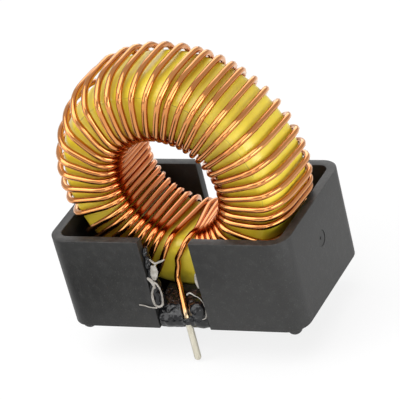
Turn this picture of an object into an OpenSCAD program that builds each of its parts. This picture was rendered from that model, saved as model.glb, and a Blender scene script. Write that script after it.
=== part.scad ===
// Toroidal power inductor standing on edge in a moulded tray, for a circuit board.
// Origin: centre of the footprint on the board. +Z is up, -Y is the front with the first lead.

/* [Tray] */
// Outside width of the tray at its rim
tray_w = 35.6; // [33:0.2:43]
// Outside depth of the tray at its rim
tray_d = 21.9; // [19:0.1:27]
// Height of the tray from its underside to its rim
tray_h = 13.75; // [8:0.25:17]
// Thickness of the four walls
wall_t = 1.4; // [1:0.1:2]
// Thickness of the floor
floor_t = 1.4; // [1:0.1:2.5]
// Outer radius of the upright corners at the rim
corner_r = 2.8; // [1.8:0.1:4]
// Amount by which each wall leans in towards the underside, so the moulding leaves its tool
draft = 0.15; // [0:0.05:0.3]
// Width of the slot in the front and back walls that a lead passes down through
slot_w = 7.6; // [5:0.1:9]
// How far each slot is cut in from the outside of the wall, through the edge of the floor
slot_deep = 1.7; // [1.6:0.1:2.4]

/* [Feet] */
// Height of the domed feet that hold the tray off the board
foot_h = 1.25; // [1.2:0.05:2]
// Radius of each foot and of its dome
foot_r = 1.1; // [0.8:0.1:1.2]
// Distance of each foot's centre from the tray's side
foot_in_x = 2.3; // [1.5:0.1:4]
// Distance of each foot's centre from the tray's front or back
foot_in_y = 1.95; // [1.5:0.05:4]

/* [Gate mark] */
// Radius of the shallow dish where the plastic entered the mould, on the right wall
gate_r = 1.15; // [0.5:0.05:2]
// Height of that dish above the underside
gate_up = 8.1; // [3:0.1:10]
// Depth of the dish
gate_deep = 0.12; // [0.05:0.01:0.3]

/* [Core] */
// Outside diameter of the coated powder core
core_od = 33.0; // [27.5:0.1:34]
// Diameter of the hole in the core
core_id = 16.3; // [13.5:0.1:20]
// Height of the core along its axis
core_h = 11.1; // [9:0.1:12.5]
// Radius of the core's edges
core_edge = 2.2; // [1.6:0.1:2.6]
// Turn of the core about the upright, away from square in the tray
core_yaw = 4.2; // [0:0.1:5]
// Lean of the core's axis, up at the back
core_lean = 1.9; // [0:0.1:3]
// Shift of the core's centre towards the front
core_shift = 0.65; // [0:0.05:1]

/* [Winding] */
// Diameter of the enamelled wire
wire_d = 0.9; // [0.6:0.01:0.95]
// Number of times the wire passes through the hole
turns = 44; // [20:1:44]
// Space left between the wire and the core's coating
wire_gap = 0.06; // [0.05:0.01:0.1]
// Space left between the winding's outer size and the floor
seat_gap = 0.1; // [0.05:0.05:0.5]

/* [Leads] */
// Distance between the front lead and the back lead, centre to centre
lead_pitch = 20.32; // [18:0.01:26]
// Least space between a lead's solder and the edge of the slot behind it
lead_room = 0.3; // [0.2:0.05:1]
// Sideways offset of each lead from the middle of its slot
lead_off = 0.4; // [0:0.1:1]
// Length of each lead below the board's face
lead_len = 4.1; // [2:0.1:8]
// Thickness of the solder on the dipped end of each lead
solder_t = 0.06; // [0.05:0.01:0.1]
// Height above the board at which the solder ends
solder_top = 2.9; // [1:0.1:4]

/* [Adhesive] */
// Height above the underside of the adhesive that fills the foot of each slot
glue_h = 4.0; // [3.4:0.1:6]
// Height above the underside that the adhesive runs up the left side of the front slot
glue_run_h = 12.2; // [6:0.2:12.8]
// Radius of the largest of the adhesive's lobes, which hang beside the lead
lobe_r = 1.3; // [0.8:0.05:1.4]
// Space left between the adhesive and what it grips
glue_gap = 0.06; // [0.03:0.01:0.1]

/* [Hidden] */
$fn = 96;

eps = 0.01;
wire_r = wire_d / 2;
rim_z = foot_h + tray_h;
floor_z = foot_h + floor_t;
wound_r = core_od / 2 + wire_gap + wire_d;
centre = [0, -core_shift, floor_z + seat_gap + wound_r];

// Directions of the core as it stands: sideways, up its face, and along its axis to the back.
side_way = [cos(core_yaw), -sin(core_yaw), 0];
axis_way = [sin(core_yaw) * cos(core_lean), cos(core_yaw) * cos(core_lean), sin(core_lean)];
up_way = cross(side_way, axis_way);

// Middle of the wire on the four sides of the core's section, and the bend round its edges.
wire_off = wire_gap + wire_r;
in_r = core_id / 2 - wire_off;
out_r = core_od / 2 + wire_off;
face_h = core_h / 2 + wire_off;
bend_r = core_edge + wire_off;

// Angle round the hole of each pass of the wire, read between a few places. The first number of
// each pair is the share of the winding, from the front lead to the back lead.
hole_angles = [[0, 282.5], [0.16, 332.5], [0.35, 399], [0.49, 442.5], [0.63, 492.5], [0.81, 553],
    [0.98, 610.5], [1, 621]];
// How far a turn has moved on where it crosses the front's outer edge, by its angle in the hole.
front_leans = [[289, -2], [304, 0], [318, 3], [332.5, 12.5], [341, 8.5], [349, 5.5], [365, 4], [382, 2],
    [413, 0], [421, -2.5], [435, -4], [443, -7], [460, -8], [476, -10.5], [483, -12.5], [492, -12],
    [500, -10], [512, -5], [519, -1], [540, 1], [553, 0.5], [561, 4.5], [569, 2], [577, 0],
    [585, -2], [602, -6], [611, -9], [621, -14]];
// How far a turn slants across the outside, from its front edge to its back edge.
outer_slants = [[290, 0], [310, -3], [335, -2], [345, -0.5], [350, -1.5], [370, -2.7], [405, -1],
    [440, -0.5], [465, 2], [490, 2], [520, 0]];
// How far slack turns stand off the outer edges and the front face.
edge_slacks = [[430, 0], [450, 0.1], [465, 0.25], [480, 0.5], [490, 0.45], [502, 0.1], [520, 0]];
face_slacks = [[360, 0.15], [430, 0.2], [450, 0.25], [470, 0.35], [490, 0.5], [505, 0.45], [520, 0.3],
    [545, 0.15]];
// Angle that a turn gains on its way through the hole, by its angle at the front.
hole_gains = [[282, -9], [290, -6.5], [300, -4], [330, 1.2], [600, 1.2], [610, 4], [621, 5]];

// Angle beside the bottom of the ring that the turns leave free for the slots and their adhesive.
slot_clear = asin((slot_w / 2 + wire_d) / (core_od / 2));

ring_sides = 8;
edge_steps = 3;

lead_y = lead_pitch / 2;
// Where a slot ends, behind the wall and behind its lead, and how far out its adhesive reaches.
slot_y = min(tray_d / 2 - slot_deep, lead_y - wire_r - solder_t - lead_room);
glue_out = max(tray_d / 2 - slot_deep + 1.5, lead_y + 0.59);
wire_end_z = wire_r + 0.05 - lead_len;
// Height above the board up to which the solder keeps its full thickness.
solder_up = 0.5;

// A place near the core, given by its radius, its distance behind the core's middle and its angle.
function at_core(r, h, a) = centre + r * cos(a) * side_way + r * sin(a) * up_way + h * axis_way;
// The sideways direction of the wire at that angle.
function along(a) = -sin(a) * side_way + cos(a) * up_way;
function hole_angle(k) = lookup(k / (turns - 1), hole_angles);
function edge_angle(k) =
    max(270 + slot_clear, min(630 - slot_clear, hole_angle(k) + lookup(hole_angle(k), front_leans)));
function back_angle(k) = hole_angle(k) + lookup(hole_angle(k), hole_gains);

// Space between a turn and the next in the hole. Where it is too small for the wire, every second
// turn rides up on its neighbours.
function hole_step(k) = in_r * (hole_angle(k + 1) - hole_angle(k)) * PI / 180;
function ride(k) =
    let (p = min(hole_step(k - 1), hole_step(k)), d = wire_d + 0.03, q = p * p / in_r)
    k % 2 == 0 || k >= turns - 1 || p >= d ? 0 : (q + sqrt(q * q + 4 * (d * d - p * p))) / 2;

// Corners of the wire on a bend of radius r, which its straight lengths just touch.
function bend_out(r) = r / cos(45 / edge_steps);
function bend_at(i) = 90 * (i + 0.5) / edge_steps;

// Share of the way across a face, from hole to outside, that one of the two bends takes up.
bend_share = PI * bend_r / 2 / (PI * bend_r + out_r - in_r - 2 * bend_r);

// The bend at an edge of the hole: side -1 is the front and 1 the back, from hole to face. The wire
// drifts from angle a in the hole to angle f outside as it crosses the face, and rides up by u.
function edge_in(a, side, f, u = 0) = [
    for (i = [0 : edge_steps - 1])
        let (t = bend_at(i), p = bend_out(bend_r + u), g = a + (f - a) * bend_share * t / 90)
        [at_core(in_r + bend_r - p * cos(t), side * (face_h - bend_r + p * sin(t)), g), along(g)]
];
// The bend at an outer edge, from face to outside, standing off by e.
function edge_out(f, side, e, a) = [
    for (i = [edge_steps - 1 : -1 : 0])
        let (
            t = bend_at(i),
            p = bend_out(bend_r + (side < 0 ? e : 0)),
            q = bend_out(bend_r + e),
            g = f + (a - f) * bend_share * t / 90
        )
        [at_core(out_r - bend_r + q * cos(t), side * (face_h - bend_r + p * sin(t)), g), along(g)]
];
function reversed(p) = [for (i = [len(p) - 1 : -1 : 0]) p[i]];

// One turn: into the hole, over the back, back over the outside and down the front face.
function one_turn(k) =
    let (
        b = back_angle(k),
        f = edge_angle(k + 1),
        a = hole_angle(k + 1),
        o = f + lookup(f, outer_slants),
        e = lookup(f, edge_slacks),
        s = lookup(a, face_slacks)
    )
    concat(
        edge_in(b, 1, o, ride(k)),
        edge_out(o, 1, e, b),
        reversed(edge_out(f, -1, e, a)),
        [[at_core((in_r + out_r) / 2, -face_h - s - ride(k + 1) / 2, (f + a) / 2), along((f + a) / 2)]],
        reversed(edge_in(a, -1, f, ride(k + 1)))
    );

// A smooth line through chosen points.
function bend_point(p, i, t) =
    let (a = p[max(i - 1, 0)], b = p[i], c = p[i + 1], d = p[min(i + 2, len(p) - 1)])
    b + 0.5 * t * ((c - a) + t * ((2 * a - 5 * b + 4 * c - d) + t * (3 * (b - c) + d - a)));
function smooth_line(p, steps) = concat(
    [for (i = [0 : len(p) - 2]) for (s = [0 : steps - 1]) bend_point(p, i, s / steps)],
    [p[len(p) - 1]]
);

// The leads run from the hole's edge down the core's face and out to the slots.
lead_top = 3;
front_knee = [lead_off, -lead_y, lead_top];
front_foot = at_core(in_r + bend_r + 2.6, -face_h - 0.6, 265.5);
front_route = [
    front_knee,
    0.7 * front_knee + 0.3 * front_foot,
    0.3 * front_knee + 0.7 * front_foot,
    front_foot,
    at_core(in_r + bend_r + 0.9, -face_h - 0.1, 266.5)
];
back_knee = [-lead_off, lead_y, lead_top];
back_foot = at_core(in_r + bend_r + 2.6, face_h + 0.6, 266);
back_route = [
    at_core(in_r + bend_r + 0.9, face_h + 0.1, 264.5),
    back_foot,
    0.3 * back_knee + 0.7 * back_foot,
    0.7 * back_knee + 0.3 * back_foot,
    back_knee
];

// The whole wire from one end to the other: each entry is a place and the wire's sideways direction.
wire_line = concat(
    [[[lead_off, -lead_y, wire_end_z], [1, 0, 0]]],
    [for (p = smooth_line(front_route, 3)) [p, [1, 0, 0]]],
    reversed(edge_in(hole_angle(0), -1, hole_angle(0) - 43)),
    [for (k = [0 : turns - 2]) each one_turn(k)],
    edge_in(back_angle(turns - 1), 1, back_angle(turns - 1) - 6),
    [for (p = smooth_line(back_route, 3)) [p, [1, 0, 0]]],
    [[[-lead_off, lead_y, wire_end_z], [1, 0, 0]]]
);

function unit(v) = v / norm(v);

// A tube along a line of places, closed at both ends.
module wire_along(line, r) {
    n = len(line);
    last = n - 1;
    points = [
        for (i = [0 : last])
            let (
                ahead = unit(line[min(i + 1, last)][0] - line[min(i, last - 1)][0]),
                behind = unit(line[max(i, 1)][0] - line[max(i - 1, 0)][0]),
                way = unit(ahead + behind),
                across = unit(cross(cross(way, line[i][1]), way)),
                out = cross(way, across) / (way * ahead)
            )
            for (j = [0 : ring_sides - 1])
                let (t = 360 * (j + 0.5) / ring_sides)
                line[i][0] + r * (cos(t) * across + sin(t) * out)
    ];
    skins = [
        for (i = [0 : last - 1]) for (j = [0 : ring_sides - 1])
            let (a = i * ring_sides + j, b = i * ring_sides + (j + 1) % ring_sides)
            each [[a, a + ring_sides, b], [b, a + ring_sides, b + ring_sides]]
    ];
    first_cap = [for (j = [0 : ring_sides - 1]) j];
    last_cap = [for (j = [ring_sides - 1 : -1 : 0]) last * ring_sides + j];
    polyhedron(points = points, faces = concat(skins, [first_cap, last_cap]), convexity = 10);
}

// A block with rounded upright corners whose walls lean in towards its underside.
module drafted_block(w, d, h, r) {
    for (x = [-1, 1], y = [-1, 1])
        translate([x * (w / 2 - r), y * (d / 2 - r), 0])
            cylinder(h = h, r1 = r - draft, r2 = r);
    rotate([90, 0, 0])
        linear_extrude(height = d - 2 * r, center = true)
            polygon([[draft - w / 2, 0], [w / 2 - draft, 0], [w / 2, h], [-w / 2, h]]);
    rotate([90, 0, 90])
        linear_extrude(height = w - 2 * r, center = true)
            polygon([[draft - d / 2, 0], [d / 2 - draft, 0], [d / 2, h], [-d / 2, h]]);
}

// A foot with a round end, its tip on the board.
module foot() {
    translate([0, 0, foot_r])
        sphere(r = foot_r);
    translate([0, 0, foot_r])
        cylinder(h = foot_h - foot_r + floor_t / 2, r = foot_r);
}

module tray() {
    gate_face = tray_w / 2 - draft * (1 - gate_up / tray_h);
    color("#303030") {
        difference() {
            translate([0, 0, foot_h])
                drafted_block(tray_w, tray_d, tray_h, corner_r);
            translate([0, 0, floor_z])
                drafted_block(tray_w - 2 * wall_t, tray_d - 2 * wall_t, tray_h, corner_r - wall_t);
            for (side = [-1, 1])
                translate([0, side * (slot_y + 5), rim_z - tray_h / 2])
                    cube([slot_w, 10, tray_h + 2], center = true);
            translate([gate_face - gate_deep, 0, foot_h + gate_up])
                rotate([0, 90, 0])
                    difference() {
                        cylinder(h = 1, r = gate_r);
                        translate([0, 0, -eps])
                            cylinder(h = gate_deep * 0.8, r = gate_r / 5);
                    }
        }
        for (x = [-1, 1], y = [-1, 1])
            translate([x * (tray_w / 2 - foot_in_x), y * (tray_d / 2 - foot_in_y), 0])
                foot();
    }
}

// Stands a shape made about +Z on its edge, at the core's place, with +Z to the front.
module stand_up() {
    translate(centre)
        rotate([0, 0, -core_yaw])
            rotate([90 + core_lean, 0, 0])
                children();
}

// The core's section with its rounded edges, grown by a clearance.
module core_section(grow) {
    inner = core_id / 2 - grow;
    outer = core_od / 2 + grow;
    half = core_h / 2 + grow;
    edge = core_edge + grow;
    translate([inner + edge, -half])
        square([outer - inner - 2 * edge, 2 * half]);
    translate([inner, edge - half])
        square([outer - inner, 2 * (half - edge)]);
    for (x = [inner + edge, outer - edge], y = [edge - half, half - edge])
        translate([x, y])
            circle(r = edge);
}

module core() {
    color("#d8bf2c")
        stand_up()
            rotate_extrude($fn = 180)
                core_section(0);
}

module winding() {
    color("#c8703c")
        wire_along(wire_line, wire_r);
}

// The solder-dipped end of a lead: a sleeve over the wire, closed by a round drop. Above the board it
// thins towards the place where the wire was last wetted.
module solder(side) {
    sleeve_r = wire_r + solder_t;
    color("#d9d6c8")
        translate([-side * lead_off, side * lead_y, 0])
            difference() {
                union() {
                    translate([0, 0, sleeve_r - lead_len])
                        sphere(r = sleeve_r);
                    translate([0, 0, sleeve_r - lead_len])
                        cylinder(h = lead_len + solder_up - sleeve_r, r = sleeve_r);
                    translate([0, 0, solder_up])
                        cylinder(h = solder_top - solder_up, r1 = sleeve_r, r2 = wire_r + 0.035);
                }
                translate([0, 0, wire_end_z - glue_gap])
                    cylinder(h = lead_len + solder_top, r = wire_r + 0.025);
            }
}

// The bank of adhesive across a slot, as seen along X: it falls away from the core to the wall's face.
module glue_bank(side) {
    top = foot_h + glue_h;
    face_y = side * at_core(core_od / 2 - core_edge, side * core_h / 2, 270)[1];
    polygon([
        [face_y - 1, top],
        [face_y + 0.4, top],
        [tray_d / 2 - slot_deep + 0.1, top - 1],
        [glue_out - 0.3, top - 2],
        [glue_out, top - 2.8],
        [glue_out - 0.1, foot_h + 0.5],
        [glue_out - 0.5, foot_h - 0.1],
        [face_y - 1, foot_h - 0.1]
    ]);
}

// Adhesive in the foot of a slot: a bank against the core, with lobes beside the lead.
module adhesive(side, $fn = 48) {
    half_slot = slot_w / 2 - glue_gap;
    out_y = glue_out - 1.05;
    low_z = foot_h + lobe_r - 0.25;
    lead_x = -side * lead_off;
    far_x = half_slot - lobe_r - 0.1;
    // Middle and radius of each lobe: sideways, outwards and up.
    lobes = [
        [far_x, out_y, low_z, lobe_r],
        [far_x - 0.1, out_y - 0.05, low_z + 1.5, lobe_r + 0.1],
        [-far_x, out_y, low_z - 0.05, lobe_r - 0.1],
        [-0.4 * far_x, out_y - 0.1, low_z - 0.2, lobe_r - 0.25]
    ];
    // The run up the left side of the front slot: height above the underside and radius of each bead.
    run = [[0.5, 1.15], [0.64, 0.95], [0.8, 0.85], [0.94, 0.65]];
    foot = side < 0 ? front_foot : back_foot;
    bend = foot - (side < 0 ? front_knee : back_knee);
    rise = (side < 0 ? front_route[4] : back_route[0]) - foot;
    color("#101112")
        difference() {
            intersection() {
                union() {
                    rotate([90, 0, side * 90])
                        linear_extrude(height = slot_w, center = true)
                            glue_bank(side);
                    for (lobe = lobes)
                        translate([-side * lobe[0], side * lobe[1], lobe[2]])
                            sphere(r = lobe[3]);
                    translate([lead_x, side * lead_y, foot_h + 1.1])
                        sphere(r = 0.85);
                    if (side < 0) {
                        translate([-half_slot, -tray_d / 2 + wall_t, foot_h + 3])
                            cylinder(h = glue_run_h - 3, r1 = 1.2, r2 = 0.45);
                        for (bead = run)
                            translate([-half_slot, -tray_d / 2 + wall_t - 0.2, foot_h + glue_run_h * bead[0]])
                                sphere(r = bead[1]);
                    }
                }
                translate([-half_slot, -tray_d, 0])
                    cube([2 * half_slot, 2 * tray_d, rim_z]);
            }
            stand_up()
                rotate_extrude($fn = 180)
                    core_section(glue_gap);
            translate([lead_x, side * lead_y, 0])
                cylinder(h = lead_top + 0.3, r = wire_r + solder_t + glue_gap);
            translate([lead_x, side * lead_y, lead_top])
                rotate([0, acos(bend[2] / norm(bend)), atan2(bend[1], bend[0])])
                    translate([0, 0, -0.3])
                        cylinder(h = 5, r = wire_r + solder_t);
            translate(foot)
                rotate([0, acos(rise[2] / norm(rise)), atan2(rise[1], rise[0])])
                    translate([0, 0, -0.3])
                        cylinder(h = 3, r = wire_r + 0.1);
            translate([0, side * (slot_y - 5 + glue_gap), floor_z / 2 + glue_gap])
                cube([slot_w + 1, 10, floor_z], center = true);
        }
}

tray();
core();
winding();
solder(-1);  // solder_front
solder(1);  // solder_back
adhesive(-1);  // adhesive_front
adhesive(1);  // adhesive_back
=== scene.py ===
# %% [markdown]
# # A toroidal inductor in a moulded tray
# The object is a coil for a power supply: a ring of pressed iron powder with a yellow coating, wound
# with one enamelled copper wire, and glued on its edge into a black moulded tray. The wire's two ends
# leave through slots in the tray and are dipped in solder.
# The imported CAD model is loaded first. It fixes every size and place, and this script gives it its looks.

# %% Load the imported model
import bpy
import math
from mathutils import Matrix, Vector
from mathutils.kdtree import KDTree


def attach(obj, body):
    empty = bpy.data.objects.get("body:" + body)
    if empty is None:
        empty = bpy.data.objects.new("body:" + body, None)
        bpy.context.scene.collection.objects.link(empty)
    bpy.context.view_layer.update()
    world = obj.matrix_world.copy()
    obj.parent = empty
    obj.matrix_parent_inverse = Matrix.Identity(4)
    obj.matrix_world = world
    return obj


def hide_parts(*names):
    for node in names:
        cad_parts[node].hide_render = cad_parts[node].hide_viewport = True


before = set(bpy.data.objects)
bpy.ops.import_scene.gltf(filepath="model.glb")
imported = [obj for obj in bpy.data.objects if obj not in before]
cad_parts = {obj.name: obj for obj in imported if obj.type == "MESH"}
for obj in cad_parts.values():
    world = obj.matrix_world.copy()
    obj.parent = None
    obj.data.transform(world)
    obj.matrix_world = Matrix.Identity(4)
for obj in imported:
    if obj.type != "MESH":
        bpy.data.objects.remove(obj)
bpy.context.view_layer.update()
print("CAD nodes:", sorted(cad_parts))

# %% [markdown]
# ## Small helpers
# Sizes are written in millimetres, as on a drawing, and turned into metres. Colours are written as the
# usual hex numbers, and turned into the linear values that a shader wants.
# `clear_selection` comes before every new primitive, because an operator acts on all that is selected,
# and `place_in_mesh` moves a piece's place and size into its mesh, as a finished piece's must be.

# %% Helpers for sizes and colours
MM = 0.001


def mm(x, y, z):
    return Vector((x * MM, y * MM, z * MM))


def linear(hex_colour):
    channels = [int(hex_colour[i:i + 2], 16) / 255 for i in (1, 3, 5)]
    return tuple(c / 12.92 if c <= 0.04045 else ((c + 0.055) / 1.055) ** 2.4 for c in channels) + (1.0,)


# %% Helpers for selection and placing
def clear_selection():
    if bpy.context.mode != "OBJECT":
        bpy.ops.object.mode_set(mode="OBJECT")
    bpy.ops.object.select_all(action="DESELECT")


def make_active(piece):
    clear_selection()
    piece.select_set(True)
    bpy.context.view_layer.objects.active = piece


def named(name):
    piece = bpy.context.object
    piece.name = name
    piece.data.name = name
    return piece


def place_in_mesh(piece):
    make_active(piece)
    bpy.ops.object.transform_apply(location=True, rotation=True, scale=True)
    return piece


# %% Helpers for modifiers and measuring
def apply_modifier(piece, kind, **settings):
    make_active(piece)
    modifier = piece.modifiers.new(kind.title(), kind)
    for key, value in settings.items():
        setattr(modifier, key, value)
    bpy.ops.object.modifier_apply(modifier=modifier.name)


def smooth(piece, degrees):
    make_active(piece)
    bpy.ops.object.shade_smooth_by_angle(angle=math.radians(degrees))


def report(piece):
    piece.data.update()
    corners = [v.co for v in piece.data.vertices]
    low = [min(c[i] for c in corners) / MM for i in range(3)]
    high = [max(c[i] for c in corners) / MM for i in range(3)]
    triangles = sum(len(p.vertices) - 2 for p in piece.data.polygons)
    print(piece.name, "triangles", triangles,
          "from", [round(v, 2) for v in low], "to", [round(v, 2) for v in high])


# %% [markdown]
# ## Camera
# A long lens a good arm's length away keeps the ring's outline nearly free of perspective. The camera
# looks from the front right and from above, and is rolled so that the tray stands at a slant.

# %% Camera
LENS, SENSOR = 269.5, 36
CAMERA_BACK, CAMERA_RIGHT, CAMERA_UP, AIM_HEIGHT = 412.2, -2.195, 11.811, 1.2
view_turn, view_height, view_roll = math.radians(30.376), math.radians(28.289), math.radians(-14.662)
look_back = Vector((math.sin(view_turn) * math.cos(view_height),
                    -math.cos(view_turn) * math.cos(view_height), math.sin(view_height)))
level_right = Vector((math.cos(view_turn), math.sin(view_turn), 0))
level_up = look_back.cross(level_right)
right = level_right * math.cos(view_roll) + level_up * math.sin(view_roll)
up = level_up * math.cos(view_roll) - level_right * math.sin(view_roll)
camera_data = bpy.data.cameras.new("studio_camera")
camera_data.lens = LENS
camera_data.sensor_width = SENSOR
camera_data.clip_start = 0.01
camera_data.clip_end = 20
camera = bpy.data.objects.new("studio_camera", camera_data)
bpy.context.scene.collection.objects.link(camera)
camera_place = look_back * CAMERA_BACK + right * CAMERA_RIGHT + up * CAMERA_UP + Vector((0, 0, AIM_HEIGHT))
camera_place *= MM
turn = Matrix((right, up, look_back)).transposed()
camera.matrix_world = Matrix.Translation(camera_place) @ turn.to_4x4()
bpy.context.scene.camera = camera
print("camera at", [round(v, 4) for v in camera_place])

# %% [markdown]
# ## One helper for shader nodes
# Every material is a small tree of nodes. `node` adds one, sets its sockets, and links a socket when it
# is given another node's output instead of a number. A key such as `i0` names a socket by its number, and
# one that starts with `set_` names a setting of the node itself. The others build on it: `ramp` turns a
# factor into a colour or a strength, `maths` is one sum, and `mix_colour` lays one colour over another.

# %% Node helper
def node(tree, kind, output=0, **inputs):
    made = tree.nodes.new(kind)
    for key, value in inputs.items():
        if key.startswith("set_"):
            setattr(made, key[4:], value)
            continue
        name = key.replace("_", " ")
        socket = made.inputs[int(key[1:])] if key[0] == "i" and key[1:].isdigit() else made.inputs[name]
        if isinstance(value, bpy.types.NodeSocket):
            tree.links.new(value, socket)
        else:
            socket.default_value = value
    return made.outputs[output]


def new_material(name):
    material = bpy.data.materials.new(name)
    material.use_nodes = True
    material.node_tree.nodes.clear()
    return material, material.node_tree


def finish_material(tree, shader):
    out = tree.nodes.new("ShaderNodeOutputMaterial")
    tree.links.new(shader, out.inputs["Surface"])


# %% Helpers for colours and sums in a shader
def ramp(tree, factor, stops):
    made = tree.nodes.new("ShaderNodeValToRGB")
    tree.links.new(factor, made.inputs[0])
    while len(made.color_ramp.elements) < len(stops):
        made.color_ramp.elements.new(0.5)
    for element, (place, colour) in zip(made.color_ramp.elements, stops):
        element.position = place
        element.color = linear(colour) if isinstance(colour, str) else (colour, colour, colour, 1)
    return made.outputs[0]


def maths(tree, operation, a, b=0.0, c=0.0):
    return node(tree, "ShaderNodeMath", set_operation=operation, i0=a, i1=b, i2=c)


def mix_colour(tree, factor, a, b):
    made = tree.nodes.new("ShaderNodeMix")
    made.data_type = "RGBA"
    for socket, value in ((made.inputs[0], factor), (made.inputs[6], a), (made.inputs[7], b)):
        if isinstance(value, bpy.types.NodeSocket):
            tree.links.new(value, socket)
        else:
            socket.default_value = value
    return made.outputs[2]


def object_place(tree):
    return node(tree, "ShaderNodeTexCoord", output=3)


# %% [markdown]
# ## Floor, world and lamps
# A product on white stands in soft light from all round. The floor lies just under the leads' tips, and
# glows to the camera so that the paper stays white. The world is plain white to the camera too. Glossy
# surfaces see it a little darker, and its light on the object is weaker still, so that the lamps give the
# forms. Round metal looks flat in an all white room, so a soft round patch of the paper, in front and to
# the left, is black to glossy rays alone: it draws the dark lines along the wire.

# %% Floor
FLOOR_Z = -4.4
CARD_PLACE, CARD_EDGE, CARD_FULL, CARD_SHADE = (-34, -40, FLOOR_Z), 34, 20, 0.96
PAPER_GLOW = 0.82


def make_floor():
    clear_selection()
    bpy.ops.mesh.primitive_plane_add(size=3, location=mm(0, 0, FLOOR_Z))
    floor = named("studio_floor")
    place_in_mesh(floor)
    material, tree = new_material("white_paper_sweep")
    path = tree.nodes.new("ShaderNodeLightPath")
    place = object_place(tree)
    from_card = node(tree, "ShaderNodeVectorMath", output=1, set_operation="DISTANCE", i0=place,
                     i1=tuple(mm(*CARD_PLACE)))
    card = node(tree, "ShaderNodeMapRange", Value=from_card, From_Min=CARD_EDGE * MM, From_Max=CARD_FULL * MM)
    card = maths(tree, "MULTIPLY", card, path.outputs["Is Glossy Ray"])
    colour = mix_colour(tree, maths(tree, "MULTIPLY", card, CARD_SHADE), linear("#f4f4f4"), linear("#050505"))
    paper = node(tree, "ShaderNodeBsdfDiffuse", Color=colour)
    lit = node(tree, "ShaderNodeEmission", Color=(1, 1, 1, 1), Strength=1.0)
    seen = maths(tree, "MULTIPLY", path.outputs["Is Camera Ray"], PAPER_GLOW)
    finish_material(tree, node(tree, "ShaderNodeMixShader", i0=seen, i1=paper, i2=lit))
    floor.data.materials.append(material)


make_floor()


# %% World
WORLD_LIGHT, WORLD_GLOSS = 0.38, 0.55


def make_world():
    world = bpy.data.worlds.new("white_studio")
    bpy.context.scene.world = world
    world.use_nodes = True
    tree = world.node_tree
    tree.nodes.clear()
    path = tree.nodes.new("ShaderNodeLightPath")
    seen = maths(tree, "MAXIMUM", path.outputs["Is Camera Ray"], path.outputs["Is Transmission Ray"])
    glossy = maths(tree, "MULTIPLY", path.outputs["Is Glossy Ray"], WORLD_GLOSS)
    seen = maths(tree, "MAXIMUM", seen, glossy)
    strength = maths(tree, "MULTIPLY_ADD", seen, 1 - WORLD_LIGHT, WORLD_LIGHT)
    shade = node(tree, "ShaderNodeBackground", Color=(1, 1, 1, 1), Strength=strength)
    out = tree.nodes.new("ShaderNodeOutputWorld")
    tree.links.new(shade, out.inputs["Surface"])


make_world()


# %% Lamps
LAMP_AIM = mm(0, 0, 18)


def soft_lamp(name, direction, distance, size, power):
    data = bpy.data.lights.new(name, "AREA")
    data.shape = "RECTANGLE"
    data.size, data.size_y = size
    data.energy = power
    lamp = bpy.data.objects.new(name, data)
    bpy.context.scene.collection.objects.link(lamp)
    way = Vector(direction).normalized()
    lamp.location = LAMP_AIM + way * distance
    lamp.rotation_euler = way.to_track_quat("Z", "Y").to_euler()
    print(name, "at", [round(v, 3) for v in lamp.location])


soft_lamp("overhead_softbox", (-0.1, -0.3, 1.0), 0.6, (0.8, 0.6), 3.5)
soft_lamp("right_softbox", (1.0, -0.25, 0.12), 0.55, (0.36, 0.3), 1.8)
soft_lamp("front_right_softbox", (0.5, -0.86, 0.02), 0.55, (0.2, 0.3), 0.6)
soft_lamp("front_left_softbox", (-0.8, -0.75, 0.55), 0.55, (0.34, 0.44), 0.9)
soft_lamp("back_fill", (-0.3, 1.0, 0.5), 0.6, (0.4, 0.4), 0.9)

# %% [markdown]
# ## Tray
# The tray is one injection moulding in black glass-filled plastic. Its walls lean in a little towards the
# bottom, its upright corners are round, and a slot in the front and in the back lets a lead down.
# By hand it is quickest as a box: the bottom face is scaled for the draft, the upright edges are
# bevelled, the top is inset by the wall and pushed down, and two cutters open the slots. A fine bevel
# last of all gives the edges the thin line of light that a real moulding has. Faces and edges are chosen
# in code by `select_where`, from the places of their corners.

# %% Tray sizes and tools
TRAY_W, TRAY_D, TRAY_H = 35.6, 21.9, 13.75
FOOT_H, FOOT_R, WALL, FLOOR_T, DRAFT, CORNER_R = 1.25, 1.1, 1.4, 1.4, 0.15, 2.8
SLOT_W, SLOT_DEEP, EDGE_R = 7.6, 1.7, 0.16
RIM_Z = FOOT_H + TRAY_H


def box(name, low, high):
    clear_selection()
    low, high = mm(*low), mm(*high)
    bpy.ops.mesh.primitive_cube_add(size=1, location=(low + high) / 2)
    piece = named(name)
    piece.scale = high - low
    return place_in_mesh(piece)


def select_where(piece, kind, test):
    make_active(piece)
    bpy.ops.object.mode_set(mode="EDIT")
    bpy.ops.mesh.select_mode(type="FACE" if kind == "polygons" else "EDGE")
    bpy.ops.mesh.select_all(action="DESELECT")
    bpy.ops.object.mode_set(mode="OBJECT")
    mesh = piece.data
    for item in getattr(mesh, kind):
        corners = [mesh.vertices[i].co / MM for i in item.vertices]
        if test(corners):
            item.select = True
    bpy.ops.object.mode_set(mode="EDIT")


def cut(piece, cutter, operation="DIFFERENCE"):
    apply_modifier(piece, "BOOLEAN", object=cutter, operation=operation, solver="EXACT")
    bpy.data.objects.remove(cutter)


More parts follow.
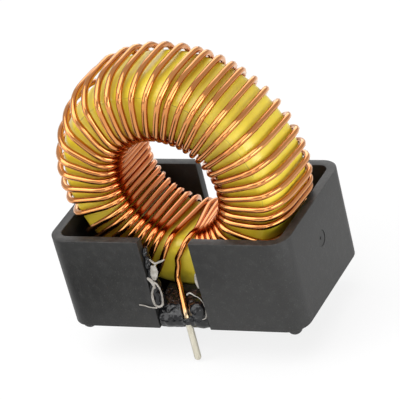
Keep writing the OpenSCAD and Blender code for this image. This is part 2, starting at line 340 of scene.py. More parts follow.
# %% Tray shape
tray = box("tray_moulding", (-TRAY_W / 2, -TRAY_D / 2, FOOT_H), (TRAY_W / 2, TRAY_D / 2, RIM_Z))
select_where(tray, "polygons", lambda c: all(p.z < FOOT_H + 0.1 for p in c))
bpy.ops.transform.resize(value=(1 - 2 * DRAFT / TRAY_W, 1 - 2 * DRAFT / TRAY_D, 1))
select_where(tray, "edges", lambda c: abs(c[0].z - c[1].z) > 5)
bpy.ops.mesh.bevel(offset=CORNER_R * MM, segments=10, affect="EDGES")
select_where(tray, "polygons", lambda c: all(p.z > RIM_Z - 0.1 for p in c))
bpy.ops.mesh.inset(thickness=WALL * MM)
bpy.ops.mesh.extrude_region_move(TRANSFORM_OT_translate={"value": (0, 0, -(TRAY_H - FLOOR_T) * MM)})
bpy.ops.transform.resize(value=(1 - 2 * DRAFT / TRAY_W, 1 - 2 * DRAFT / TRAY_D, 1))
bpy.ops.object.mode_set(mode="OBJECT")
for side in (-1, 1):
    edge = side * TRAY_D / 2
    low_y, high_y = sorted((edge - side * SLOT_DEEP, edge + side * 2))
    cut(tray, box("slot_cutter", (-SLOT_W / 2, low_y, 0), (SLOT_W / 2, high_y, RIM_Z + 2)))
apply_modifier(tray, "BEVEL", width=EDGE_R * MM, segments=3, limit_method="ANGLE",
               angle_limit=math.radians(40))
report(tray)

# %% [markdown]
# The four feet are short pegs with round ends, and the moulding's gate leaves a shallow dish with a small
# pip on the right wall. They come after the fine bevel, which would otherwise be held back by them.

# %% Feet
FOOT_IN_X, FOOT_IN_Y, FOOT_PEG = 2.3, 1.95, 0.5
for x in (-1, 1):
    for y in (-1, 1):
        place = mm(x * (TRAY_W / 2 - FOOT_IN_X), y * (TRAY_D / 2 - FOOT_IN_Y), FOOT_R)
        clear_selection()
        bpy.ops.mesh.primitive_uv_sphere_add(segments=32, ring_count=17, radius=FOOT_R * MM, location=place)
        foot = place_in_mesh(named("foot"))
        select_where(foot, "polygons", lambda c: sum(p.z for p in c) / len(c) > FOOT_R)
        bpy.ops.transform.resize(value=(1, 1, 0), center_override=place)
        bpy.ops.transform.translate(value=(0, 0, FOOT_PEG * MM))
        bpy.ops.mesh.remove_doubles(threshold=0.00001)
        bpy.ops.object.mode_set(mode="OBJECT")
        cut(tray, foot, "UNION")

# %% Gate mark
GATE_R, GATE_UP, GATE_DEEP, PIP_R = 1.15, 8.1, 0.07, 0.23
gate_face = TRAY_W / 2 - DRAFT * (1 - GATE_UP / TRAY_H)
clear_selection()
bpy.ops.mesh.primitive_cylinder_add(vertices=48, radius=GATE_R * MM, depth=1 * MM,
                                    rotation=(0, math.pi / 2, 0),
                                    location=mm(gate_face - GATE_DEEP + 0.5, 0, FOOT_H + GATE_UP))
dish = place_in_mesh(named("gate_dish"))
clear_selection()
bpy.ops.mesh.primitive_cylinder_add(vertices=24, radius=PIP_R * MM, depth=0.2 * MM,
                                    rotation=(0, math.pi / 2, 0),
                                    location=mm(gate_face - GATE_DEEP, 0, FOOT_H + GATE_UP))
cut(dish, place_in_mesh(named("gate_pip")))
cut(tray, dish)
smooth(tray, 30)
report(tray)

# %% [markdown]
# Glass-filled plastic is never quite even: the surface has a very fine grain from the mould, the glass
# shows as a faint pale mottle, and the top of the rim is painted a little lighter in patches broken by
# noise, a painted highlight along its edge. Grain and mottle are noise at their real sizes, a tenth of a
# millimetre and about a millimetre.

# %% Tray material
RIM_SHEEN_DEEP = 0.22


def moulded_plastic():
    material, tree = new_material("black_glass_filled_moulding")
    place = object_place(tree)
    grain = node(tree, "ShaderNodeTexNoise", Vector=place, Scale=4200, Detail=3, Roughness=0.65)
    mottle = node(tree, "ShaderNodeTexNoise", Vector=place, Scale=900, Detail=4, Roughness=0.6)
    cloud = node(tree, "ShaderNodeTexNoise", Vector=place, Scale=160, Detail=2)
    colour = ramp(tree, mottle, [(0.3, "#101010"), (0.52, "#191918"), (0.75, "#2c2c2b")])
    colour = mix_colour(tree, 0.35, colour, ramp(tree, cloud, [(0.3, "#171717"), (0.7, "#222221")]))
    specks = ramp(tree, grain, [(0.6, 0.0), (0.74, 0.55)])
    colour = mix_colour(tree, specks, colour, linear("#4a4a48"))
    height = node(tree, "ShaderNodeSeparateXYZ", output=2, Vector=place)
    # Painted highlight: the top of the rim is lightened a little, in patches broken by noise.
    rim_sheen_band = node(tree, "ShaderNodeMapRange", Value=height,
               From_Min=(RIM_Z - RIM_SHEEN_DEEP) * MM, From_Max=RIM_Z * MM)
    chips = node(tree, "ShaderNodeTexNoise", Vector=place, Scale=1500, Detail=3)
    nicks = ramp(tree, chips, [(0.45, 0.0), (0.62, 1.0)])
    rim_sheen = maths(tree, "MULTIPLY", rim_sheen_band, maths(tree, "MULTIPLY", nicks, 0.1))
    colour = mix_colour(tree, rim_sheen, colour, linear("#6e6c66"))
    rough = maths(tree, "MULTIPLY_ADD", mottle, 0.2, 0.42)
    bump = node(tree, "ShaderNodeBump", Strength=0.5, Distance=0.00004,
                Height=maths(tree, "MULTIPLY_ADD", mottle, 0.5, grain))
    shader = node(tree, "ShaderNodeBsdfPrincipled", Base_Color=colour, Roughness=rough, Normal=bump, IOR=1.52)
    finish_material(tree, shader)
    return material


tray.data.materials.clear()
tray.data.materials.append(moulded_plastic())
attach(tray, "root")
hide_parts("tray")

# %% [markdown]
# ## Core
# The ring is pressed from iron powder and sprayed with a yellow coating, with round edges. Its section is
# a rectangle with rounded corners, so a plane is sized and its corners bevelled; the front's outer corner
# is drawn out along the axis, as it is the roundest. The section is spun once round the ring's axis. The
# ring stands on its edge, turned a few degrees and leaning a little.

# %% Core shape
CORE_OD, CORE_ID, CORE_H, CORE_EDGE, FRONT_DEEP = 33.0, 16.3, 11.1, 2.2, 4.2
YAW, LEAN = math.radians(4.2), math.radians(1.9)
WIRE_D, WIRE_GAP = 0.9, 0.06
CENTRE = Vector((0, -0.65, FOOT_H + FLOOR_T + 0.1 + CORE_OD / 2 + WIRE_GAP + WIRE_D))
SIDE_WAY = Vector((math.cos(YAW), -math.sin(YAW), 0))
AXIS_WAY = Vector((math.sin(YAW) * math.cos(LEAN), math.cos(YAW) * math.cos(LEAN), math.sin(LEAN)))
UP_WAY = SIDE_WAY.cross(AXIS_WAY)


def stand_up(piece):
    turned = Matrix((SIDE_WAY, UP_WAY, -AXIS_WAY)).transposed().to_4x4()
    piece.data.transform(Matrix.Translation(CENTRE * MM) @ turned)


clear_selection()
bpy.ops.mesh.primitive_plane_add(size=1, rotation=(math.pi / 2, 0, 0),
                                 location=mm((CORE_OD + CORE_ID) / 4, 0, 0))
core = named("powder_core")
core.scale = ((CORE_OD - CORE_ID) / 2 * MM, CORE_H * MM, 1)
place_in_mesh(core)
select_where(core, "edges", lambda c: True)
bpy.ops.mesh.bevel(offset=CORE_EDGE * MM, segments=14, affect="VERTICES")
select_where(core, "edges", lambda c: all(p.x > CORE_OD / 2 - CORE_EDGE - 0.01 and p.z > 0 for p in c))
bpy.ops.transform.resize(value=(1, 1, FRONT_DEEP / CORE_EDGE), center_override=mm(0, 0, CORE_H / 2))
bpy.ops.mesh.select_all(action="SELECT")
bpy.ops.mesh.delete(type="ONLY_FACE")
bpy.ops.mesh.select_all(action="SELECT")
bpy.ops.mesh.spin(steps=256, angle=2 * math.pi, center=(0, 0, 0), axis=(0, 0, 1))
bpy.ops.mesh.select_all(action="SELECT")
bpy.ops.mesh.remove_doubles(threshold=0.000002)
bpy.ops.mesh.normals_make_consistent(inside=False)
bpy.ops.object.mode_set(mode="OBJECT")
stand_up(core)
smooth(core, 60)
report(core)

# %% [markdown]
# The coating is a thin satin epoxy. It has an orange-peel skin, slightly deeper colour where it is
# thicker, a few dust specks under it, and fine rubs from the wire that was pulled over it. A thin broken
# grey line is painted round the ring where each flat face meets the outer rounding: a painted reflection
# that stands for the glint on the front's edge. Low in the front slot the coating turns darker towards the
# bottom, olive and then near black. The line is found by its distance from the ring's axis. A darkening
# is a soft step by height, shaken by noise: where it starts, where it is full, its strength and its colour.

# %% Painted edge glint, slot darkening and axis
GLINT_LINE_R, GLINT_LINE_EDGE, GLINT_LINE_FULL = 14.7, 0.09, 0.03
SLOT_DARK_SIDE, SLOT_DARK_FULL, SLOT_DARK_FRONT, SLOT_DARK_WAVE = 6.5, 4, -3, 5
SLOT_DARKENINGS = [(16.5, 10.5, 0.25, "#7d6c20"), (9.6, 6.8, 0.8, "#2a2616")]


def axis_distance(tree, place):
    from_centre = node(tree, "ShaderNodeVectorMath", set_operation="SUBTRACT", i0=place,
                       i1=tuple(CENTRE * MM))
    across = node(tree, "ShaderNodeVectorMath", set_operation="CROSS_PRODUCT", i0=from_centre,
                  i1=tuple(AXIS_WAY))
    return node(tree, "ShaderNodeVectorMath", output=1, set_operation="LENGTH", i0=across)


# %% Core material
def yellow_coating():
    material, tree = new_material("yellow_epoxy_coating")
    place = object_place(tree)
    cloud = node(tree, "ShaderNodeTexNoise", Vector=place, Scale=170, Detail=5, Roughness=0.6)
    peel = node(tree, "ShaderNodeTexNoise", Vector=place, Scale=1300, Detail=3, Roughness=0.5)
    colour = ramp(tree, cloud, [(0.28, "#dfc92f"), (0.5, "#ecd83e"), (0.72, "#f3e256")])
    stretched = node(tree, "ShaderNodeMapping", Vector=place, Scale=(300, 2200, 300))
    streaks = node(tree, "ShaderNodeTexNoise", Vector=stretched, Scale=1, Detail=3)
    rubs = maths(tree, "MULTIPLY", ramp(tree, streaks, [(0.6, 0.0), (0.7, 1.0)]), 0.25)
    colour = mix_colour(tree, rubs, colour, linear("#e8d568"))
    cells = tree.nodes.new("ShaderNodeTexVoronoi")
    cells.inputs["Scale"].default_value = 420
    tree.links.new(place, cells.inputs["Vector"])
    dot = maths(tree, "LESS_THAN", cells.outputs["Distance"], 0.085)
    pick = node(tree, "ShaderNodeSeparateColor", Color=cells.outputs["Color"])
    speck = maths(tree, "MULTIPLY", dot, maths(tree, "LESS_THAN", pick, 0.07))
    colour = mix_colour(tree, maths(tree, "MULTIPLY", speck, 0.8), colour, linear("#4a3c12"))
    # Painted reflection: a thin broken grey line at a fixed distance from the axis, standing for the edge
    # glint.
    from_glint_line = maths(tree, "ABSOLUTE", maths(tree, "SUBTRACT", axis_distance(tree, place), GLINT_LINE_R * MM))
    line = node(tree, "ShaderNodeMapRange", Value=from_glint_line, From_Min=GLINT_LINE_EDGE * MM, From_Max=GLINT_LINE_FULL * MM)
    line = maths(tree, "MULTIPLY", line, ramp(tree, cloud, [(0.46, 0.0), (0.58, 0.6)]))
    colour = mix_colour(tree, line, colour, linear("#8f8a4a"))
    split = node(tree, "ShaderNodeSeparateXYZ", Vector=place).node
    height = maths(tree, "MULTIPLY_ADD", cloud, SLOT_DARK_WAVE * MM, split.outputs["Z"])
    near_slot = node(tree, "ShaderNodeMapRange", Value=maths(tree, "ABSOLUTE", split.outputs["X"]),
                     From_Min=SLOT_DARK_SIDE * MM, From_Max=SLOT_DARK_FULL * MM)
    before = maths(tree, "LESS_THAN", split.outputs["Y"], SLOT_DARK_FRONT * MM)
    in_front = maths(tree, "MULTIPLY", near_slot, before)
    # Low in the front slot the coating turns darker towards the bottom: first olive, then near black.
    for start, full, strength, tint in SLOT_DARKENINGS:
        darkening = node(tree, "ShaderNodeMapRange", Value=height, From_Min=start * MM, From_Max=full * MM)
        darkening = maths(tree, "MULTIPLY", maths(tree, "MULTIPLY", darkening, in_front), strength)
        colour = mix_colour(tree, darkening, colour, linear(tint))
    rough = maths(tree, "MULTIPLY_ADD", cloud, 0.25, 0.22)
    bump = node(tree, "ShaderNodeBump", Strength=0.4, Distance=0.00004, Height=peel)
    shader = node(tree, "ShaderNodeBsdfPrincipled", Base_Color=colour, Roughness=rough, Normal=bump,
                  Coat_Weight=0.25, Coat_Roughness=0.2)
    finish_material(tree, shader)
    return material


core.data.materials.append(yellow_coating())
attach(core, "root")
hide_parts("core")

# %% [markdown]
# ## Winding
# One wire makes the whole winding. It passes through the hole 44 times, and after each pass but the last
# it goes up the back face, forward over the outside and down the front face to the next. The turns lean,
# slant and stand off the core as hand-laid turns do.
# Stiff wire doesn't lie flat between two bends: it bows off the outside a little, most at the upper left.
# The line of its middle is worked out first, bend by bend; a curve with a round bevel then follows it,
# and is made a mesh. The numbers below are given at a few places round the ring. Each pair is an
# angle in degrees and a value there: a lean, a slant or a gain in degrees, or a slack or a bow in
# millimetres. In the first table the place is a share of the winding, and the value the angle in the hole.

# %% Where each turn lies
TURNS = 44
WIRE_R = WIRE_D / 2
OFFSET = WIRE_GAP + WIRE_R
IN_R, OUT_R = CORE_ID / 2 - OFFSET, CORE_OD / 2 + OFFSET
FACE_H, BEND_R, FRONT_BEND = CORE_H / 2 + OFFSET, CORE_EDGE + OFFSET, FRONT_DEEP + OFFSET
SLOT_CLEAR = math.degrees(math.asin((SLOT_W / 2 + WIRE_D) / (CORE_OD / 2)))
HOLE_ANGLES = [(0, 282.5), (0.16, 332.5), (0.35, 399), (0.49, 442.5), (0.63, 492.5), (0.81, 553),
               (0.98, 610.5), (1, 621)]
FRONT_LEANS = [(289, -2), (304, 0), (318, 3), (332.5, 12.5), (341, 8.5), (349, 5.5), (365, 4),
               (382, 2), (413, 0), (421, -2.5), (435, -4), (443, -7), (460, -8), (476, -10.5),
               (483, -12.5), (492, -12), (500, -10), (512, -5), (519, -1), (540, 1), (553, 0.5),
               (561, 4.5), (569, 2), (577, 0), (585, -2), (602, -6), (611, -9), (621, -14)]
OUTER_SLANTS = [(290, 0), (310, -3), (335, -2), (345, -0.5), (350, -1.5), (370, -2.7), (405, -1),
                (440, -0.5), (465, 2), (490, 2), (520, 0)]
HOLE_GAINS = [(282, -9), (290, -6.5), (300, -4), (330, 1.2), (600, 1.2), (610, 4), (621, 5)]
EDGE_SLACKS = [(430, 0), (450, 0.1), (465, 0.25), (480, 0.5), (490, 0.45), (502, 0.1), (520, 0)]
FACE_SLACKS = [(360, 0.15), (430, 0.2), (450, 0.25), (470, 0.35), (490, 0.5), (505, 0.45), (520, 0.3),
               (545, 0.15)]
OUTER_BOWS = [(352, 0), (362, 0.15), (400, 0.22), (440, 0.28), (468, 0.35), (500, 0.35), (522, 0.3),
              (538, 0.2), (550, 0)]
BACK_BOW = 0.15


# %% Angles read from the tables
def lookup(value, pairs):
    if value <= pairs[0][0]:
        return pairs[0][1]
    for (a, low), (b, high) in zip(pairs, pairs[1:]):
        if value <= b:
            return low + (high - low) * (value - a) / (b - a)
    return pairs[-1][1]


def at_core(radius, behind, degrees):
    t = math.radians(degrees)
    sideways, upwards = SIDE_WAY * (radius * math.cos(t)), UP_WAY * (radius * math.sin(t))
    return CENTRE + sideways + upwards + AXIS_WAY * behind


def hole_angle(k):
    return lookup(k / (TURNS - 1), HOLE_ANGLES)


def edge_angle(k):
    leaned = hole_angle(k) + lookup(hole_angle(k), FRONT_LEANS)
    return max(270 + SLOT_CLEAR, min(630 - SLOT_CLEAR, leaned))


def back_angle(k):
    return hole_angle(k) + lookup(hole_angle(k), HOLE_GAINS)


# %% [markdown]
# A turn is four bends, with a point on each face and outside between them. The wire drifts sideways as it
# crosses a face, and the shares below say how much of that falls in each bend. The front's outer bend
# follows the drawn-out corner, and `slack` lifts a loose turn off it.

# %% Bends of one turn
BEND_STEPS = 6
FLAT_RUN = OUT_R - IN_R - 2 * BEND_R
FACE_RUN = math.pi * 0.75 * BEND_R + FLAT_RUN
INNER_SHARE, OUTER_SHARE = math.pi / 2 * BEND_R / FACE_RUN, math.pi / 4 * BEND_R / FACE_RUN
MIDDLE_SHARE = INNER_SHARE + FLAT_RUN / 2 / FACE_RUN
FRONT_ARC = math.pi / 2 * math.sqrt((BEND_R ** 2 + FRONT_BEND ** 2) / 2)
OUTSIDE_RUN = FRONT_ARC + 2 * FACE_H - FRONT_BEND - BEND_R + math.pi / 2 * BEND_R


def bowed_place(radius, behind, degrees, outer_bow, face_bow):
    middle, half = (IN_R + OUT_R) / 2, (OUT_R - IN_R) / 2
    off_face = face_bow * max(0, 1 - ((radius - middle) / half) ** 2)
    off_outside = outer_bow * max(0, 1 - (behind / FACE_H) ** 2) if radius > middle else 0
    return at_core(radius + off_outside, behind + math.copysign(off_face, behind), degrees)


def inner_bend(angle, side, far_angle, face_bow=0.0):
    points = []
    for i in range(BEND_STEPS + 1):
        t = math.pi / 2 * i / BEND_STEPS
        drift = angle + (far_angle - angle) * INNER_SHARE * i / BEND_STEPS
        points.append(bowed_place(IN_R + BEND_R * (1 - math.cos(t)),
                                  side * (FACE_H - BEND_R * (1 - math.sin(t))), drift, 0, face_bow))
    return points


def outer_bend(angle, side, slack, far_angle, other_edge, outer_bow, face_bow):
    points = []
    slant = (other_edge - angle) * (FRONT_ARC if side < 0 else math.pi / 2 * BEND_R) / OUTSIDE_RUN
    for i in range(BEND_STEPS, -1, -1):
        t = math.pi / 2 * i / BEND_STEPS
        deep, off = (FRONT_BEND, slack) if side < 0 else (BEND_R, 0)
        near = i / BEND_STEPS
        drift = angle + (far_angle - angle) * OUTER_SHARE * near ** 2 + slant * (1 - near)
        points.append(bowed_place(OUT_R - BEND_R + (BEND_R + slack) * math.cos(t),
                                  side * (FACE_H - deep + (deep + off) * math.sin(t)),
                                  drift, outer_bow, face_bow))
    return points


# %% One whole turn
def turn_points(k):
    through_angle, angle, edge = back_angle(k), hole_angle(k + 1), edge_angle(k + 1)
    slack, outer_bow = lookup(edge, EDGE_SLACKS), lookup(edge, OUTER_BOWS)
    face_bow = lookup(angle, FACE_SLACKS)
    back_edge, middle_r = edge + lookup(edge, OUTER_SLANTS), (IN_R + OUT_R) / 2
    through = inner_bend(through_angle, 1, back_edge, BACK_BOW)
    behind_angle = through_angle + (back_edge - through_angle) * MIDDLE_SHARE
    behind = bowed_place(middle_r, FACE_H, behind_angle, 0, BACK_BOW)
    over = outer_bend(back_edge, 1, slack, through_angle, edge, outer_bow, BACK_BOW)
    outside = bowed_place(OUT_R + slack, 0.001, (back_edge + edge) / 2, outer_bow, 0)
    down = outer_bend(edge, -1, slack, angle, back_edge, outer_bow, max(0, face_bow - slack))[::-1]
    before = bowed_place(middle_r, -FACE_H, angle + (edge - angle) * MIDDLE_SHARE, 0, face_bow)
    into = inner_bend(angle, -1, edge, face_bow)[::-1]
    return through + [behind] + over + [outside] + down + [before] + into


# %% [markdown]
# The leads come off the first and the last turn, run down the face of the core and out to the slots. They
# go straight down where the solder is, and the line is smoothed from point to point in between. The first
# and the last bend turn towards their leads, by `FRONT_TURN` and `BACK_TURN` degrees.

# %% The leads
LEAD_Y, LEAD_OFF, LEAD_LEN, LEAD_TOP = 10.16, 0.4, 4.1, 3.0
FRONT_TURN, BACK_TURN = 38, 6
WIRE_END = WIRE_R + 0.05 - LEAD_LEN


def off_core(side, outwards, off, degrees):
    return at_core(IN_R + BEND_R + outwards, side * (FACE_H + off), degrees)


front_knee = Vector((LEAD_OFF, -LEAD_Y, LEAD_TOP))
front_foot = off_core(-1, 2.6, 0.6, 265.5)
front_lead = [Vector((LEAD_OFF, -LEAD_Y, z)) for z in (WIRE_END, 0, LEAD_TOP - 0.6, LEAD_TOP)]
front_lead += [front_knee.lerp(front_foot, share) for share in (0.1, 0.3, 0.7, 1)]
front_lead.append(off_core(-1, 1.0, 0.1, 266.6))
back_knee = Vector((-LEAD_OFF, LEAD_Y, LEAD_TOP))
back_foot = off_core(1, 2.6, 0.6, 266)
back_lead = [off_core(1, 0.9, 0.1, 264.5)]
back_lead += [back_knee.lerp(back_foot, share) for share in (1, 0.7, 0.3, 0.1)]
back_lead += [Vector((-LEAD_OFF, LEAD_Y, z)) for z in (LEAD_TOP, LEAD_TOP - 0.6, 0, WIRE_END)]


# %% The whole line of the wire
LINE_STEP = 0.55


def smooth_line(points, spacing):
    line = []
    for i in range(len(points) - 1):
        p0, p1, p2 = points[max(i - 1, 0)], points[i], points[i + 1]
        p3 = points[min(i + 2, len(points) - 1)]
        d0, d1, d2 = (max((b - a).length, 0.05) ** 0.5 for a, b in ((p0, p1), (p1, p2), (p2, p3)))
        m1 = (p2 - p1) + ((p1 - p0) / d0 - (p2 - p0) / (d0 + d1)) * d1
        m2 = (p2 - p1) + ((p3 - p2) / d2 - (p3 - p1) / (d1 + d2)) * d1
        steps = max(1, round((p2 - p1).length / spacing))
        for s in range(steps):
            t = s / steps
            h0, h1 = 2 * t ** 3 - 3 * t ** 2 + 1, t ** 3 - 2 * t ** 2 + t
            h2, h3 = -2 * t ** 3 + 3 * t ** 2, t ** 3 - t ** 2
            line.append(p1 * h0 + m1 * h1 + p2 * h2 + m2 * h3)
    line.append(points[-1])
    return line


wire_corners = front_lead + inner_bend(hole_angle(0), -1, hole_angle(0) - FRONT_TURN)[::-1]
for k in range(TURNS - 1):
    wire_corners += turn_points(k)
last_back = back_angle(TURNS - 1)
wire_corners += inner_bend(last_back, 1, last_back - BACK_TURN) + back_lead
wire_line = smooth_line(wire_corners, LINE_STEP)
wire_length = sum((b - a).length for a, b in zip(wire_line, wire_line[1:]))
print("wire length", round(wire_length), "mm in", TURNS, "turns, points", len(wire_line))


# %% Wire shape
def tube(name, line, radius, radii=None):
    curve = bpy.data.curves.new(name, "CURVE")
    curve.dimensions = "3D"
    curve.bevel_depth = radius * MM
    curve.bevel_resolution = 2
    curve.use_fill_caps = True
    spline = curve.splines.new("POLY")
    spline.points.add(len(line) - 1)
    for i, point in enumerate(line):
        spline.points[i].co = (*(point * MM), 1)
        spline.points[i].radius = radii[i] if radii else 1
    piece = bpy.data.objects.new(name, curve)
    bpy.context.scene.collection.objects.link(piece)
    make_active(piece)
    bpy.ops.object.convert(target="MESH")
    piece = named(name)
    bpy.ops.object.shade_smooth()
    return piece


winding = tube("copper_winding", wire_line, WIRE_R)
report(winding)

# %% [markdown]
# The enamel is a clear amber film over bright copper, so the wire is a metal under a glossy coat. Each
# stretch of wire is a little different, so its distance from the first end is stored on the mesh and
# shifts the tone slowly along it. In the hole, where copper mirrors copper, the enamel looks redder. The
# ends are wetted grey by the solder, with an uneven upper edge.

# %% Distance along the wire
def store_distance(piece, line):
    tree = KDTree(len(line))
    travelled, distances = 0.0, []
    for i, point in enumerate(line):
        travelled += (point - line[i - 1]).length if i else 0
        distances.append(travelled)
        tree.insert(point * MM, i)
    tree.balance()
    layer = piece.data.attributes.new("wire_distance", "FLOAT", "POINT")
    layer.data.foreach_set("value", [distances[tree.find(v.co)[1]] / 100 for v in piece.data.vertices])


# %% Wire material
WET_TOP, WET_FULL, WET_WAVE = 4.6, 3.8, 1.2
RED_FROM, RED_FULL = 9.2, 7.4


def enamelled_copper():
    material, tree = new_material("enamelled_copper_wire")
    place = object_place(tree)
    distance = node(tree, "ShaderNodeAttribute", output=2, set_attribute_name="wire_distance")
    tone = node(tree, "ShaderNodeTexNoise", set_noise_dimensions="1D", W=distance, Scale=3.0, Detail=4)
    skin = node(tree, "ShaderNodeTexNoise", Vector=place, Scale=2600, Detail=3, Roughness=0.6)
    waves = node(tree, "ShaderNodeTexNoise", Vector=place, Scale=420, Detail=2)
    copper = ramp(tree, tone, [(0.3, "#c3854a"), (0.5, "#cc9054"), (0.7, "#d59a5e")])
    copper = mix_colour(tree, ramp(tree, skin, [(0.62, 0.0), (0.8, 0.35)]), copper, linear("#b57a42"))
    height = node(tree, "ShaderNodeSeparateXYZ", output=2, Vector=place)
    edge = maths(tree, "MULTIPLY_ADD", waves, WET_WAVE * MM, height)
    wetted = node(tree, "ShaderNodeMapRange", Value=edge, From_Min=WET_TOP * MM, From_Max=WET_FULL * MM)
    inwards = node(tree, "ShaderNodeMapRange", Value=axis_distance(tree, place),
                   From_Min=RED_FROM * MM, From_Max=RED_FULL * MM)
    copper = mix_colour(tree, maths(tree, "MULTIPLY", inwards, 0.8), copper, linear("#cb7c44"))
    copper = mix_colour(tree, wetted, copper, linear("#c9c1b0"))
    rough = maths(tree, "MULTIPLY_ADD", skin, 0.1, 0.09)
    bump = node(tree, "ShaderNodeBump", Strength=0.06, Distance=0.00003,
                Height=maths(tree, "MULTIPLY_ADD", skin, 0.3, waves))
    shader = node(tree, "ShaderNodeBsdfPrincipled", Base_Color=copper, Metallic=1.0, Roughness=rough,
                  Normal=bump, Coat_Weight=0.75, Coat_Roughness=0.05, Coat_Tint=linear("#fbdfb4"),
                  Coat_IOR=1.5)
    finish_material(tree, shader)
    return material


store_distance(winding, wire_line)
winding.data.materials.clear()
winding.data.materials.append(enamelled_copper())
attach(winding, "root")
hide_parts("winding")

# %% [markdown]
# ## Solder on the leads
# Each lead is dipped in solder after the coil is wound. The solder is a thin skin round the wire, a
# little fuller towards its end, where the last drop hung. It is a short outline turned round the lead's
# middle, open at the top for the wire.

# %% Solder dips
SOLDER_T, SOLDER_UP, SOLDER_TOP = 0.035, 0.5, 2.9


def solder_dip(name, side):
    sleeve, hollow, tip = WIRE_R + SOLDER_T, WIRE_R + 0.01, -LEAD_LEN
    outline = [(0, tip), (0.14, tip + 0.02), (0.27, tip + 0.08), (0.39, tip + 0.2), (0.46, tip + 0.34),
               (sleeve, tip + 0.5), (sleeve, tip + 1), (sleeve - 0.01, tip + 2), (sleeve - 0.015, SOLDER_UP),
               (WIRE_R + 0.025, SOLDER_TOP), (hollow, SOLDER_TOP - 0.02), (hollow, WIRE_END - 0.05),
               (0, WIRE_END - 0.06)]
    clear_selection()
    bpy.ops.mesh.primitive_plane_add(size=1)
    piece = named(name)
    piece.data.clear_geometry()
    points = [mm(r, 0, z) for r, z in outline]
    piece.data.from_pydata(points, [(i, i + 1) for i in range(len(points) - 1)], [])
    make_active(piece)
    bpy.ops.object.mode_set(mode="EDIT")
    bpy.ops.mesh.select_all(action="SELECT")
    bpy.ops.mesh.spin(steps=40, angle=2 * math.pi, center=(0, 0, 0), axis=(0, 0, 1))
    bpy.ops.mesh.select_all(action="SELECT")
    bpy.ops.mesh.remove_doubles(threshold=0.000002)
    bpy.ops.mesh.normals_make_consistent(inside=False)
    bpy.ops.object.mode_set(mode="OBJECT")
    piece.data.transform(Matrix.Translation(mm(-side * LEAD_OFF, side * LEAD_Y, 0)))
    smooth(piece, 60)
    report(piece)
    return piece


# %% Solder material and both dips
def dipped_solder():
    material, tree = new_material("dipped_tin_solder")
    place = object_place(tree)
    runs = node(tree, "ShaderNodeMapping", Vector=place, Scale=(1800, 1800, 260))
    flow = node(tree, "ShaderNodeTexNoise", Vector=runs, Scale=1, Detail=4)
    fine = node(tree, "ShaderNodeTexNoise", Vector=place, Scale=3800, Detail=2)
    colour = ramp(tree, flow, [(0.3, "#bdb8a6"), (0.55, "#d6d1c0"), (0.75, "#e2ddce")])
    rough = maths(tree, "MULTIPLY_ADD", fine, 0.3, 0.26)
    bump = node(tree, "ShaderNodeBump", Strength=0.5, Distance=0.00004,
                Height=maths(tree, "MULTIPLY_ADD", fine, 0.3, flow))
    shader = node(tree, "ShaderNodeBsdfPrincipled", Base_Color=colour, Metallic=0.85, Roughness=rough,
                  Normal=bump)
    finish_material(tree, shader)
    return material


solder = dipped_solder()
for side, end in ((-1, "front"), (1, "back")):
    dip = solder_dip("solder_dip_" + end, side)
    dip.data.materials.append(solder)
    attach(dip, "root")
    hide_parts("solder_" + end)

# %% [markdown]
# ## Adhesive
# A thick black epoxy was run into the foot of each slot, and it grips the tray, the core and the lead.
# Where it set it is smooth, lumpy and very glossy. The CAD solid already fills the right space, so a copy
# of it is merged, rebuilt in small even cells, smoothed as a liquid would be and pushed about slightly.

# %% Adhesive shape
CELL, LUMP_SIZE, LUMP_PUSH = 0.11, 0.9, 0.22


def poured(name, source):
    clear_selection()
    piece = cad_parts[source].copy()
    piece.data = piece.data.copy()
    piece.name = piece.data.name = name
    bpy.context.scene.collection.objects.link(piece)
    for key in list(piece.keys()):
        del piece[key]
    piece.parent = None
    make_active(piece)
    bpy.ops.object.mode_set(mode="EDIT")
    bpy.ops.mesh.select_all(action="SELECT")
    bpy.ops.mesh.remove_doubles(threshold=0.000002)
    bpy.ops.object.mode_set(mode="OBJECT")
    apply_modifier(piece, "REMESH", mode="VOXEL", voxel_size=CELL * MM)
    apply_modifier(piece, "SMOOTH", factor=0.5, iterations=14)
    lumps = bpy.data.textures.new(name + "_lumps", "CLOUDS")
    lumps.noise_scale = LUMP_SIZE * MM
    apply_modifier(piece, "DISPLACE", texture=lumps, strength=LUMP_PUSH * MM, mid_level=0.5,
                   texture_coords="LOCAL")
    apply_modifier(piece, "SMOOTH", factor=0.5, iterations=3)
    bpy.ops.object.shade_smooth()
    report(piece)
    return piece


# %% Adhesive material
def black_epoxy():
    material, tree = new_material("glossy_black_epoxy")
    place = object_place(tree)
    lumps = node(tree, "ShaderNodeTexNoise", Vector=place, Scale=700, Detail=3)
    fine = node(tree, "ShaderNodeTexNoise", Vector=place, Scale=3000, Detail=2)
    colour = ramp(tree, lumps, [(0.3, "#0d0d0f"), (0.6, "#17181a"), (0.8, "#26272a")])
    rough = maths(tree, "MULTIPLY_ADD", fine, 0.16, 0.06)
    bump = node(tree, "ShaderNodeBump", Strength=0.5, Distance=0.00012,
                Height=maths(tree, "MULTIPLY_ADD", fine, 0.2, lumps))
    shader = node(tree, "ShaderNodeBsdfPrincipled", Base_Color=colour, Roughness=rough, Normal=bump, IOR=1.47)
    finish_material(tree, shader)
    return material


epoxy = black_epoxy()
for end in ("front", "back"):
    bead = poured("epoxy_bead_" + end, "adhesive_" + end)
    bead.data.materials.clear()
    bead.data.materials.append(epoxy)
    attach(bead, "root")
    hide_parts("adhesive_" + end)

# %% [markdown]
# Clear glue held the coil while the epoxy set, and pulled into strings where the nozzle left it. A few
# milky threads, a scrap of film and two blobs still hang at the sides of the front slot. Each is a short
# tube drawn through a few places, thick or thin along its length, and flattened where it is a film. A row
# of the table holds its radius, its flatness, its places across and up, and its width at each place. The
# thread that starts beside the slot lies on the tray's face, a little further out than the others.

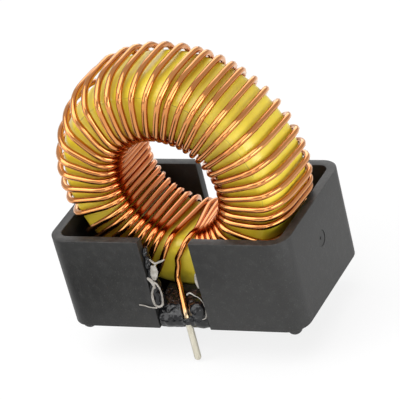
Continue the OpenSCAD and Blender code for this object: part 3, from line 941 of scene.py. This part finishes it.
# %% Glue strings
GLUE_Y, ON_FACE_Y, GLUE_STEP = -10.72, -10.98, 0.2
GLUE_STRINGS = [
    (0.1, 1, [(-2.6, 12.3), (-2.3, 11.9), (-1.94, 11.6), (-2.3, 11.0)], (0.9, 1.3, 1.4, 1.2)),
    (0.12, 1, [(-2.0, 11.6), (-1.3, 11.9), (-0.8, 12.1), (-0.4, 12.3)], (1.3, 1.2, 1.3, 0.8)),
    (0.6, 0.14, [(-2.35, 11.3), (-2.4, 10.5), (-2.6, 9.7), (-2.75, 9.0)], (0.5, 1.0, 0.9, 0.35)),
    (0.22, 0.8, [(-3.75, 9.3), (-3.3, 8.9), (-3.05, 8.3), (-3.0, 7.7)], (0.7, 1.3, 1.1, 0.7)),
    (0.13, 1, [(-3.1, 7.9), (-3.6, 6.9), (-3.75, 5.8), (-3.6, 4.95), (-3.1, 4.7), (-2.5, 5.1), (-2.3, 5.9),
               (-2.2, 7.0), (-2.5, 8.3), (-3.0, 8.7)],
     (1.1, 1.2, 1.4, 1.3, 1.4, 1.2, 1.1, 0.9, 0.9, 1.1)),
    (0.09, 1, [(-5.9, 5.1), (-5.2, 5.0), (-4.4, 4.75), (-3.3, 4.7)], (1.1, 0.9, 1.0, 1.3)),
    (0.08, 1, [(1.6, 6.8), (2.1, 7.1), (2.7, 6.7), (3.3, 6.3), (3.75, 5.5), (3.8, 5.0)],
     (1.5, 1.3, 0.8, 0.8, 0.7, 0.9)),
    (0.08, 1, [(3.8, 4.4), (3.7, 3.6), (3.5, 3.1), (3.0, 2.85)], (0.8, 0.9, 1.0, 1.1)),
    (0.2, 0.6, [(3.75, 10.2), (3.6, 9.4), (3.6, 8.6), (3.7, 7.9)], (0.6, 1.2, 1.3, 0.6)),
]


def glue_string(radius, flatness, places, widths):
    starts_beside_slot = places[0][0] < -SLOT_W / 2 - 1
    y = ON_FACE_Y if starts_beside_slot else GLUE_Y
    line = smooth_line([Vector((x, 0, z)) for x, z in places], GLUE_STEP)
    spread = [(i / (len(widths) - 1), width) for i, width in enumerate(widths)]
    widths = [lookup(i / (len(line) - 1), spread) for i in range(len(line))]
    piece = tube("glue_string", line, radius, widths)
    piece.data.transform(Matrix.Translation(mm(0, y, 0)) @ Matrix.Diagonal((1, flatness, 1, 1)))
    return piece


# %% Glue material, and the strings joined
def milky_glue():
    material, tree = new_material("milky_clear_glue")
    place = object_place(tree)
    haze = node(tree, "ShaderNodeTexNoise", Vector=place, Scale=1100, Detail=3)
    colour = ramp(tree, haze, [(0.3, "#8d8880"), (0.55, "#b3aea6"), (0.75, "#d6d2ca")])
    rough = maths(tree, "MULTIPLY_ADD", haze, 0.2, 0.1)
    bump = node(tree, "ShaderNodeBump", Strength=0.4, Distance=0.00006, Height=haze)
    shader = node(tree, "ShaderNodeBsdfPrincipled", Base_Color=colour, Roughness=rough, Normal=bump,
                  Transmission_Weight=0.25, IOR=1.45)
    finish_material(tree, shader)
    return material


strings = [glue_string(*row) for row in GLUE_STRINGS]
clear_selection()
for piece in strings:
    piece.select_set(True)
bpy.context.view_layer.objects.active = strings[0]
bpy.ops.object.join()
glue = named("glue_strings")
glue.data.materials.clear()
glue.data.materials.append(milky_glue())
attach(glue, "root")
report(glue)

# %% [markdown]
# ## Finish

# %% Finish
bpy.context.scene.view_settings.view_transform = "Standard"
